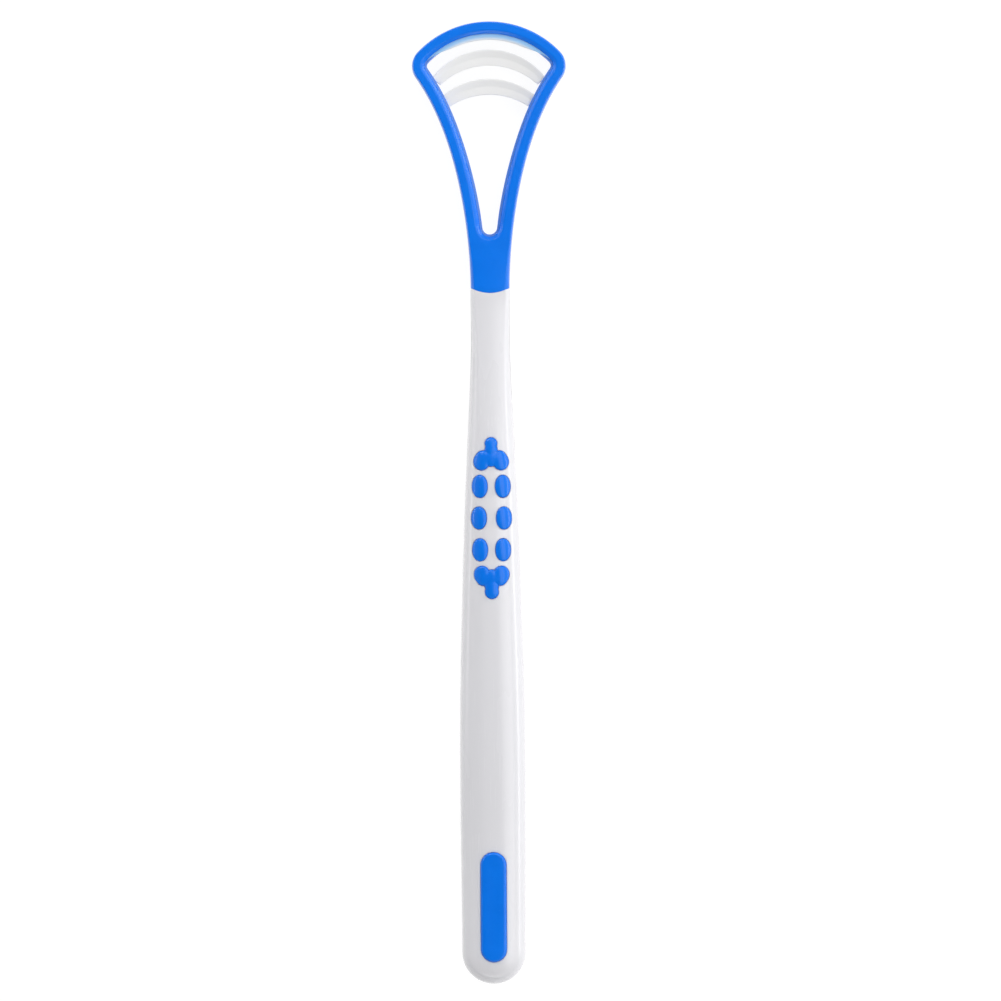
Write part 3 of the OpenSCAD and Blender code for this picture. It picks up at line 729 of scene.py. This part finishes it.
def lipTree(material):
    board = newTree("archedLip", {
        "Profile": "Object", "Radius": "Float", "Angle": "Float", "Crest": "Float", "Height": "Float",
        "Steps": "Int", "Tuck": "Float", "Tuck from": "Float", "Tuck to": "Float"})
    angle, radius = given(board, "Angle"), given(board, "Radius")
    arc = board.add("GeometryNodeCurveArc", {"mode": "RADIUS"}, {
        "Resolution": given(board, "Steps"), "Radius": radius,
        "Start Angle": math.pi / 2 - angle, "Sweep Angle": angle * 2})
    arc = board.add("GeometryNodeSetCurveNormal", {"mode": "Z_UP"}, {"Curve": arc})
    section = board.add("GeometryNodeObjectInfo", {}, {"Object": given(board, "Profile")}, "Geometry")
    band = board.add("GeometryNodeCurveToMesh", {}, {
        "Curve": arc, "Profile Curve": section, "Fill Caps": True})
    x, y = board.split(board.add("GeometryNodeInputPosition"), "XY")
    near = board.add("ShaderNodeMapRange", {"interpolation_type": "SMOOTHSTEP"}, {
        "Value": x.size(), "From Min": given(board, "Tuck from"), "From Max": given(board, "Tuck to")})
    push = near * given(board, "Tuck") / (x * x + y * y).root()
    shift = board.join(X=x * push, Y=y * push + given(board, "Crest") - radius, Z=given(board, "Height"))
    moved = board.add("GeometryNodeSetPosition", {}, {"Geometry": band, "Offset": shift})
    return finishTree(board, moved, material)


def bladeProfile():
    # the lower wall leans in towards the back, so that the blade leaves its mould
    w, t, rw, rh = blades["width"], blades["thick"] / 2, blades["ridgeWidth"], blades["ridgeHeight"]
    foot, draft = blades["ridgeFoot"], blades["draft"]
    return rounded([(0, t), (0, -t - rh), (rw, -t - rh), (foot, -t), (w, -t), (w - draft, t + rh),
                    (w - rw, t + rh), (w - foot, t)], blades["round"])


def bladeSpan(crest):
    # half span where a blade's ends reach into the bars, and how much the ends lean in
    d = head["bar"] - blades["sunk"]
    span = blades["firstSpan"]
    for _ in range(blades["tries"]):
        endY = crest - blades["radius"] + math.sqrt(blades["radius"] ** 2 - span ** 2)
        span = float(flarePoint(flareFind(endY, d), d)[0])
    lowSpan = float(flarePoint(flareFind(endY - blades["width"], d), d)[0])
    return span, (span - lowSpan) / span / blades["width"]


def buildBlades(material):
    profile = profileCurve("blade_profile", bladeProfile())
    tree = bladeTree(material)
    upperCrest = topY - blades["firstGap"]
    lowerCrest = upperCrest - blades["width"] - blades["gap"]
    for name, node, crest in (("blade_upper_pale", "scraper_blade_upper", upperCrest),
                              ("blade_lower_pale", "scraper_blade_lower", lowerCrest)):
        span, slant = bladeSpan(crest)
        blade = grown(name, tree, {
            "Profile": profile, "Half span": span * mm, "Radius": blades["radius"] * mm,
            "Crest": (crest - whole["length"] / 2) * mm, "Height": headZ * mm, "Slant": slant / mm,
            "Steps": blades["steps"]}, sharpAngle=blades["sharp"])
        settle(blade, material, "pale_soft", node)
    bpy.data.objects.remove(profile)


def buildLip(material):
    reach, high = lip["width"] + lip["sunk"], lip["thick"] / 2
    profile = profileCurve("lip_profile", rounded(
        [(0, -high), (lip["draft"], high), (reach, high), (reach, -high)], lip["round"], lip["roundSteps"]))
    edge = grown("lip_pale", lipTree(material), {
        "Profile": profile, "Radius": lip["radius"] * mm, "Angle": math.radians(lip["angle"]),
        "Crest": (topY - lip["width"] - whole["length"] / 2) * mm, "Height": headZ * mm,
        "Steps": lip["steps"], "Tuck": lip["tuck"] * mm, "Tuck from": lip["tuckFrom"] * mm,
        "Tuck to": lip["tuckTo"] * mm}, sharpAngle=blades["sharp"])
    settle(edge, material, "pale_soft", "scraper_lip")
    bpy.data.objects.remove(profile)


# rows of oval pads, set on the handle's face by Geometry Nodes

def ovalTree(material):
    board = newTree("ovalRows", {
        "Geometry": "Geometry", "Handle": "Object", "Rows": "Int", "Spread": "Float",
        "Middle spread": "Float", "Pitch": "Float", "Centre": "Float", "Rim": "Float", "Seed": "Int"})
    pitch, rows = given(board, "Pitch"), given(board, "Rows")
    spots = board.add("GeometryNodeMeshGrid", {}, {
        "Size X": given(board, "Spread"), "Size Y": pitch * (rows - 1),
        "Vertices X": 2, "Vertices Y": rows}, "Mesh")
    spots = board.add("GeometryNodeMeshToPoints", {}, {"Mesh": spots})
    x, y = board.split(board.add("GeometryNodeInputPosition"), "XY")
    inMiddle = y.size().below(0.25 * pads["pitch"] * mm)
    wider = x.sign() * (given(board, "Middle spread") - given(board, "Spread")) * inMiddle * 0.5
    spots = board.add("GeometryNodeSetPosition", {}, {
        "Geometry": spots, "Offset": board.join(X=wider, Y=given(board, "Centre"))})
    swell = board.add("FunctionNodeRandomValue", {"data_type": "FLOAT"}, {
        "Min_001": pads["smallest"], "Max_001": 1.0, "Seed": given(board, "Seed")}, "Value_001")
    scale = board.join(X=swell, Y=swell, Z=1.0)
    ovals = board.add("GeometryNodeInstanceOnPoints", {}, {
        "Points": spots, "Instance": given(board, "Geometry"), "Scale": scale})
    ovals = board.add("GeometryNodeRealizeInstances", {}, {"Geometry": ovals})
    # each point is dropped onto the handle's face from above
    x, y = board.split(board.add("GeometryNodeInputPosition"), "XY")
    above = board.join(X=x, Y=y, Z=50 * mm)
    face = board.add("GeometryNodeObjectInfo", {}, {"Object": given(board, "Handle")}, "Geometry")
    hit = board.add("GeometryNodeRaycast", {}, {
        "Target Geometry": face, "Source Position": above, "Ray Direction": (0, 0, -1),
        "Ray Length": 100 * mm}, "Hit Position")
    lift = board.split(hit, "Z")[0] + given(board, "Rim")
    ovals = board.add("GeometryNodeSetPosition", {}, {
        "Geometry": ovals, "Offset": board.join(Z=lift)})
    return finishTree(board, ovals, material)


def ovalMesh():
    body = outwards(ovalOutline(), -pads["clear"])
    low = pads["depth"] + pads["rim"] - pads["floorGap"]
    rings = [atHeight(body * pads["footShare"], -low), atHeight(body, pads["footEdge"] - low),
             atHeight(body, -pads["rim"] - pads["skirt"])]
    for share in domeShares:
        rings.append(atHeight(body * share, pads["dome"] * math.sqrt(1 - share ** 2)))
    points, faces = stack(rings, (0, 0, pads["dome"]))
    mesh = bpy.data.meshes.new("oval_pad")
    mesh.from_pydata([tuple(p) for p in np.asarray(points) * mm], [], faces)
    return mesh


def buildOvals(blank, material):
    ovals = grown("grip_ovals_blue", ovalTree(material), {
        "Handle": blank, "Rows": 3, "Spread": pads["spread"] * mm, "Middle spread": pads["midSpread"] * mm,
        "Pitch": pads["pitch"] * mm, "Centre": (grip[1] - whole["length"] / 2) * mm,
        "Rim": pads["rim"] * mm, "Seed": 4}, ovalMesh(), pads["sharp"])
    nodes = [f"grip_oval_{side}_{row}" for side in ("left", "right") for row in (1, 2, 3)]
    settle(ovals, material, "blue_soft", *nodes)


# finishes

def newMaterial(name, constants):
    material = bpy.data.materials.new(name)
    material.use_nodes = True
    board = Board(material.node_tree)
    board.shader = next(n for n in material.node_tree.nodes if n.type == "BSDF_PRINCIPLED")
    for key, value in constants.items():
        board.find(board.shader.inputs, key).default_value = value
    board.place = board.add("ShaderNodeTexCoord", {}, {}, "Object")
    return material, board


def noise(board, place, size, detail=2.0, rough=0.5):
    # noise whose lumps are about size millimetres across
    return board.add("ShaderNodeTexNoise", {"noise_dimensions": "3D"}, {
        "Vector": place, "Scale": 1 / (size * mm), "Detail": detail, "Roughness": rough}, "Fac")


def stretched(board, scale):
    return board.add("ShaderNodeMapping", {"vector_type": "POINT"}, {"Vector": board.place, "Scale": scale})


def shades(board, factor, first, second):
    # mix of two colours, each given as three numbers or as a socket
    first, second = [c if isinstance(c, Wire) else (*c, 1) for c in (first, second)]
    return board.add("ShaderNodeMix", {"data_type": "RGBA"}, {
        "Factor_Float": factor, "A_Color": first, "B_Color": second}, "Result_Color")


def ramp(board, factor, *stops):
    return board.add("ShaderNodeValToRGB", {"stops": stops}, {"Fac": factor}, "Color")


def dress(board, tone, rough, height, depth):
    # height from 0 to 1 stands for depth millimetres
    bump = board.add("ShaderNodeBump", {}, {"Height": height, "Distance": depth * mm, "Strength": 1.0})
    for key, wire in (("Base Color", tone), ("Roughness", rough), ("Normal", bump)):
        board.tree.links.new(wire.socket, board.find(board.shader.inputs, key))


white = {
    "light": (0.84, 0.836, 0.867), "dark": (0.80, 0.796, 0.827), "haze": 9.0, "hazeLong": 0.25,
    "roughness": 0.24, "hazeRough": 0.06, "coat": 0.8, "coatRough": 0.22,
    "peel": 0.9, "peelDepth": 0.004,
    "scuff": 0.35, "scuffLong": 0.02, "scuffRough": 0.10, "scuffDepth": 0.25, "worn": 14.0,
}
blue = {
    "light": (0.004, 0.215, 0.95), "dark": (0.001, 0.175, 0.83), "drift": 4.0,
    "roughness": 0.2, "uneven": 0.05,
    # painted shade: the ledge inside the bars gets a greyer slate tone
    "ledge": headZ + head["thickness"] / 2 - 0.9, "ledgeHalf": 0.09, "ledgeShadeShare": 0.8,
    "ledgeShadeTone": (0.13, 0.27, 0.66), "grain": 0.22, "grainDepth": 0.003,
    "speck": 0.6, "speckShare": 0.18, "speckTone": (0.02, 0.25, 0.93),
}
pale = {
    "light": (0.93, 0.93, 0.925), "dark": (0.87, 0.87, 0.865), "drift": 3.0, "cloud": 0.4,
    "shadeFade": 40.0, "middle": 0.3,  # painted shade: the tone darkens from left to right
    "roughness": 0.42, "uneven": 0.08,
    # painted reflection: the light blue that the bar casts onto the lip's edge
    "grain": 0.3, "grainDepth": 0.003, "bounceTint": (0.33, 0.62, 0.97), "bounceSoft": 0.1, "bounceLeast": 0.05,
}
core = {
    "light": (0.78, 0.77, 0.73), "dark": (0.70, 0.69, 0.65), "drift": 5.0,
    "roughness": 0.5, "uneven": 0.1, "grain": 0.4, "grainDepth": 0.006,
}


def whiteFinish():
    # polished moulded plastic: faint flow clouds, orange peel, and hairline scuffs along the length
    material, board = newMaterial("handleWhite", {
        "Specular IOR Level": 0.3, "Coat Weight": white["coat"], "Coat Roughness": white["coatRough"],
        "Subsurface Weight": 0.08, "Subsurface Radius": (1.0, 1.0, 1.0), "Subsurface Scale": 1.2 * mm})
    flow = noise(board, stretched(board, (1, white["hazeLong"], 1)), white["haze"], 3, 0.55)
    peel = noise(board, board.place, white["peel"], 2)
    hair = noise(board, stretched(board, (1, white["scuffLong"], 1)), white["scuff"], 2, 0.6)
    worn = noise(board, board.place, white["worn"], 2)
    scuffs = ramp(board, hair, (0.60, 0.0), (0.70, 1.0)) * ramp(board, worn, (0.46, 0.0), (0.66, 1.0))
    rough = white["roughness"] + flow * white["hazeRough"] + scuffs * white["scuffRough"]
    dress(board, shades(board, flow, white["light"], white["dark"]), rough,
          peel - scuffs * white["scuffDepth"], white["peelDepth"])
    return material


def blueFinish():
    # soft satin rubber: fine stipple from the mould and a slight drift of its colour
    material, board = newMaterial("blueRubber", {
        "Specular IOR Level": 0.3, "Coat Weight": 0.05, "Coat Roughness": 0.1,
        "Subsurface Weight": 0.04, "Subsurface Radius": (0.3, 0.6, 1.0), "Subsurface Scale": 0.8 * mm})
    drift = noise(board, board.place, blue["drift"], 3, 0.6)
    grain = noise(board, board.place, blue["grain"], 2, 0.6)
    specks = ramp(board, noise(board, board.place, blue["speck"], 2), (0.66, 0.0), (0.76, 1.0))
    # painted shade: the narrow ledge inside the bars is painted greyer, for the shade it lies in beside the
    # bar's inner wall
    z = board.split(board.place, "Z")[0]
    up = board.split(board.add("ShaderNodeNewGeometry", {}, {}, "Normal"), "Z")[0]
    shadedLedge = (z - blue["ledge"] * mm).size().below(blue["ledgeHalf"] * mm) * up.above(0.7)
    plain = shades(board, drift, blue["light"], blue["dark"])
    tone = shades(board, shadedLedge * blue["ledgeShadeShare"], plain, blue["ledgeShadeTone"])
    tone = shades(board, specks * blue["speckShare"], tone, blue["speckTone"])
    rough = blue["roughness"] + drift * blue["uneven"] + specks * blue["uneven"]
    dress(board, tone, rough, grain, blue["grainDepth"])
    return material


def paleFinish(name, withBounce):
    # milky soft plastic of the blades and the lip; the lip's edge beside the blue bar gets a painted
    # reflection, a light blue tint for the light the bar throws onto it
    material, board = newMaterial(name, {
        "Specular IOR Level": 0.45, "Subsurface Weight": 0.25,
        "Subsurface Radius": (1.0, 1.0, 0.95), "Subsurface Scale": 1.0 * mm})
    drift = noise(board, stretched(board, (0.3, 1, 1)), pale["drift"], 2)
    grain = noise(board, board.place, pale["grain"], 2)
    x, y = board.split(board.place, "XY")
    # painted shade: the tone darkens from left to right across the head
    share = drift * pale["cloud"] + x / (pale["shadeFade"] * mm) + pale["middle"]
    tone = shades(board, share, pale["light"], pale["dark"])
    # painted reflection: the lip's edge beside the bar is tinted light blue
    if withBounce:
        up = y - (archY - whole["length"] / 2) * mm
        gap = (head["topRadius"] - head["bar"]) - (x * x + up * up).root() / mm
        bounceShare = board.add("ShaderNodeMapRange", {"interpolation_type": "SMOOTHSTEP"}, {
            "Value": gap, "From Min": -pale["bounceSoft"], "From Max": lip["width"] + pale["bounceSoft"],
            "To Min": 1.0, "To Max": pale["bounceLeast"]})
        tone = shades(board, bounceShare, tone, pale["bounceTint"])
    dress(board, tone, pale["roughness"] + drift * pale["uneven"], grain, pale["grainDepth"])
    return material


def coreFinish():
    # the hidden skeleton: plain matt plastic with a faint weld haze
    material, board = newMaterial("coreWhite", {"Specular IOR Level": 0.45})
    drift = noise(board, board.place, core["drift"], 3)
    grain = noise(board, board.place, core["grain"], 2)
    tone = shades(board, drift, core["light"], core["dark"])
    dress(board, tone, core["roughness"] + drift * core["uneven"], grain, core["grainDepth"])
    return material


handleWhite, blueRubber, coreWhite = whiteFinish(), blueFinish(), coreFinish()
milkyRubber, bounceTintedRubber = paleFinish("milkyRubber", False), paleFinish("bounceTintedRubber", True)
print("finishes ready")

blank = buildHandle()
settle(cutPockets(blank), handleWhite, "white_plastic", "handle_core")
settle(buildCover(), blueRubber, "blue_soft", "head_cover")
buildBlades(milkyRubber)
buildLip(bounceTintedRubber)
upperPad = trefoilPad("grip_pad_upper_blue", upperParts, grip + (0, trefoilY))
settle(upperPad, blueRubber, "blue_soft", "grip_pad_upper")
lowerPad = trefoilPad("grip_pad_lower_blue", lowerParts, grip - (0, trefoilY))
settle(lowerPad, blueRubber, "blue_soft", "grip_pad_lower")
buildOvals(blank, blueRubber)
bpy.data.objects.remove(blank)
settle(buildInlay(), blueRubber, "blue_soft", "tail_inlay")

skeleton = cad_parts["head_skeleton"]
skeleton.data.materials.clear()
skeleton.data.materials.append(coreWhite)
print("pieces ready")


# floor, light and camera, in metres and watts; the camera's aim and faceZ are in millimetres

stage = {
    "floor": 3.0, "floorShade": 0.82, "shadowShare": 0.16, "glow": 1.12, "rightLean": 0.26,
    "headLean": 0.15, "horizon": 0.5, "zenith": 0.05, "fallFrom": 0.55, "fallTo": 0.95,
    "distance": 1.0691, "faceZ": 3.8, "lens": 200.0, "roll": -0.335, "aimX": 1.758, "aimY": 0.365,
}
lamps = {
    # name: (place, aim, width, height, power)
    "rightSoft": ((0.40, 0.20, 0.90), (0, 0.05, 0), 1.8, 0.6, 6.0),
    "rightStrip": ((0.62, 0.0, 0.13), (0, 0.0, 0), 0.34, 0.13, 0.58),
    "leftStrip": ((-0.62, 0.09, 0.10), (0, 0.09, 0), 0.34, 0.05, 0.38),
    "rightHead": ((0.56, 0.36, 0.15), (0, 0.067, 0), 0.34, 0.14, 0.66),
    "leftHead": ((-0.56, 0.36, 0.15), (0, 0.067, 0), 0.34, 0.14, 0.42),
    "leftSoft": ((-0.24, 0.50, 0.48), (0, 0.06, 0), 0.3, 0.3, 1.05),
    "footSoft": ((0.0, -0.62, 0.26), (0, 0.07, 0), 0.50, 0.05, 0.4),
}


def buildFloor():
    mesh = bpy.data.meshes.new("floor")
    s = stage["floor"] / 2
    mesh.from_pydata([(-s, -s, 0), (s, -s, 0), (s, s, 0), (-s, s, 0)], [], [(0, 1, 2, 3)])
    floor = added("floor", mesh)
    material = bpy.data.materials.new("paleFloor")
    material.use_nodes = True
    tree = material.node_tree
    tree.nodes.clear()
    board = Board(tree)
    shade = stage["floorShade"]
    plain = board.add("ShaderNodeBsdfDiffuse", {}, {"Color": (shade, shade, shade, 1)})
    glow = board.add("ShaderNodeEmission", {}, {"Color": (1, 1, 1, 1), "Strength": stage["glow"]})
    rays = tree.nodes.new("ShaderNodeLightPath")
    seen = Wire(board, rays.outputs["Is Camera Ray"]) + Wire(board, rays.outputs["Is Glossy Ray"])
    seen = seen + Wire(board, rays.outputs["Is Transmission Ray"])
    share = seen.above(0.5) * (1 - stage["shadowShare"])
    surface = board.add("ShaderNodeMixShader", {}, {0: share, 1: plain, 2: glow})
    board.add("ShaderNodeOutputMaterial", {}, {"Surface": surface})
    mesh.materials.append(material)


def buildWorld():
    world = bpy.data.worlds.new("studio")
    bpy.context.scene.world = world
    world.use_nodes = True
    tree = world.node_tree
    tree.nodes.clear()
    board = Board(tree)
    # the room is dim overhead, where the camera hangs, and brighter to the right than to the left
    aim = board.add("ShaderNodeTexCoord", {}, {}, "Generated")
    right, ahead, height = board.split(aim)
    level = board.add("ShaderNodeMapRange", {"interpolation_type": "SMOOTHSTEP"}, {
        "Value": height, "From Min": stage["fallFrom"], "From Max": stage["fallTo"],
        "To Min": stage["horizon"], "To Max": stage["zenith"]})
    level = level * (right * stage["rightLean"] + ahead * stage["headLean"] + 1)
    room, paper = [board.add("ShaderNodeBackground", {}, {"Color": (1, 1, 1, 1), "Strength": strength})
                   for strength in (level, 1.0)]
    seen = Wire(board, tree.nodes.new("ShaderNodeLightPath").outputs["Is Camera Ray"])
    surface = board.add("ShaderNodeMixShader", {}, {0: seen, 1: room, 2: paper})
    board.add("ShaderNodeOutputWorld", {}, {"Surface": surface})


def buildLamps():
    for name, (place, aim, width, height, power) in lamps.items():
        light = bpy.data.lights.new(name, "AREA")
        light.shape, light.size, light.size_y, light.energy = "RECTANGLE", width, height, power
        lamp = added(name, light)
        lamp.location = place
        lamp.rotation_mode = "QUATERNION"
        lamp.rotation_quaternion = (Vector(aim) - Vector(place)).to_track_quat("-Z", "Y")


def buildCamera():
    lens = bpy.data.cameras.new("camera")
    lens.sensor_width, lens.lens = 36.0, stage["lens"]
    lens.clip_start, lens.clip_end = 0.05, 20.0
    camera = added("camera", lens)
    roll = math.radians(stage["roll"])
    x = stage["aimX"] * math.cos(roll) - stage["aimY"] * math.sin(roll)
    y = stage["aimX"] * math.sin(roll) + stage["aimY"] * math.cos(roll)
    camera.location = (x * mm, y * mm, stage["distance"] + stage["faceZ"] * mm)
    camera.rotation_euler = (0, 0, roll)
    bpy.context.scene.camera = camera


buildFloor()
buildWorld()
buildLamps()
buildCamera()
bpy.context.scene.view_settings.view_transform = "Standard"
print("stage ready")
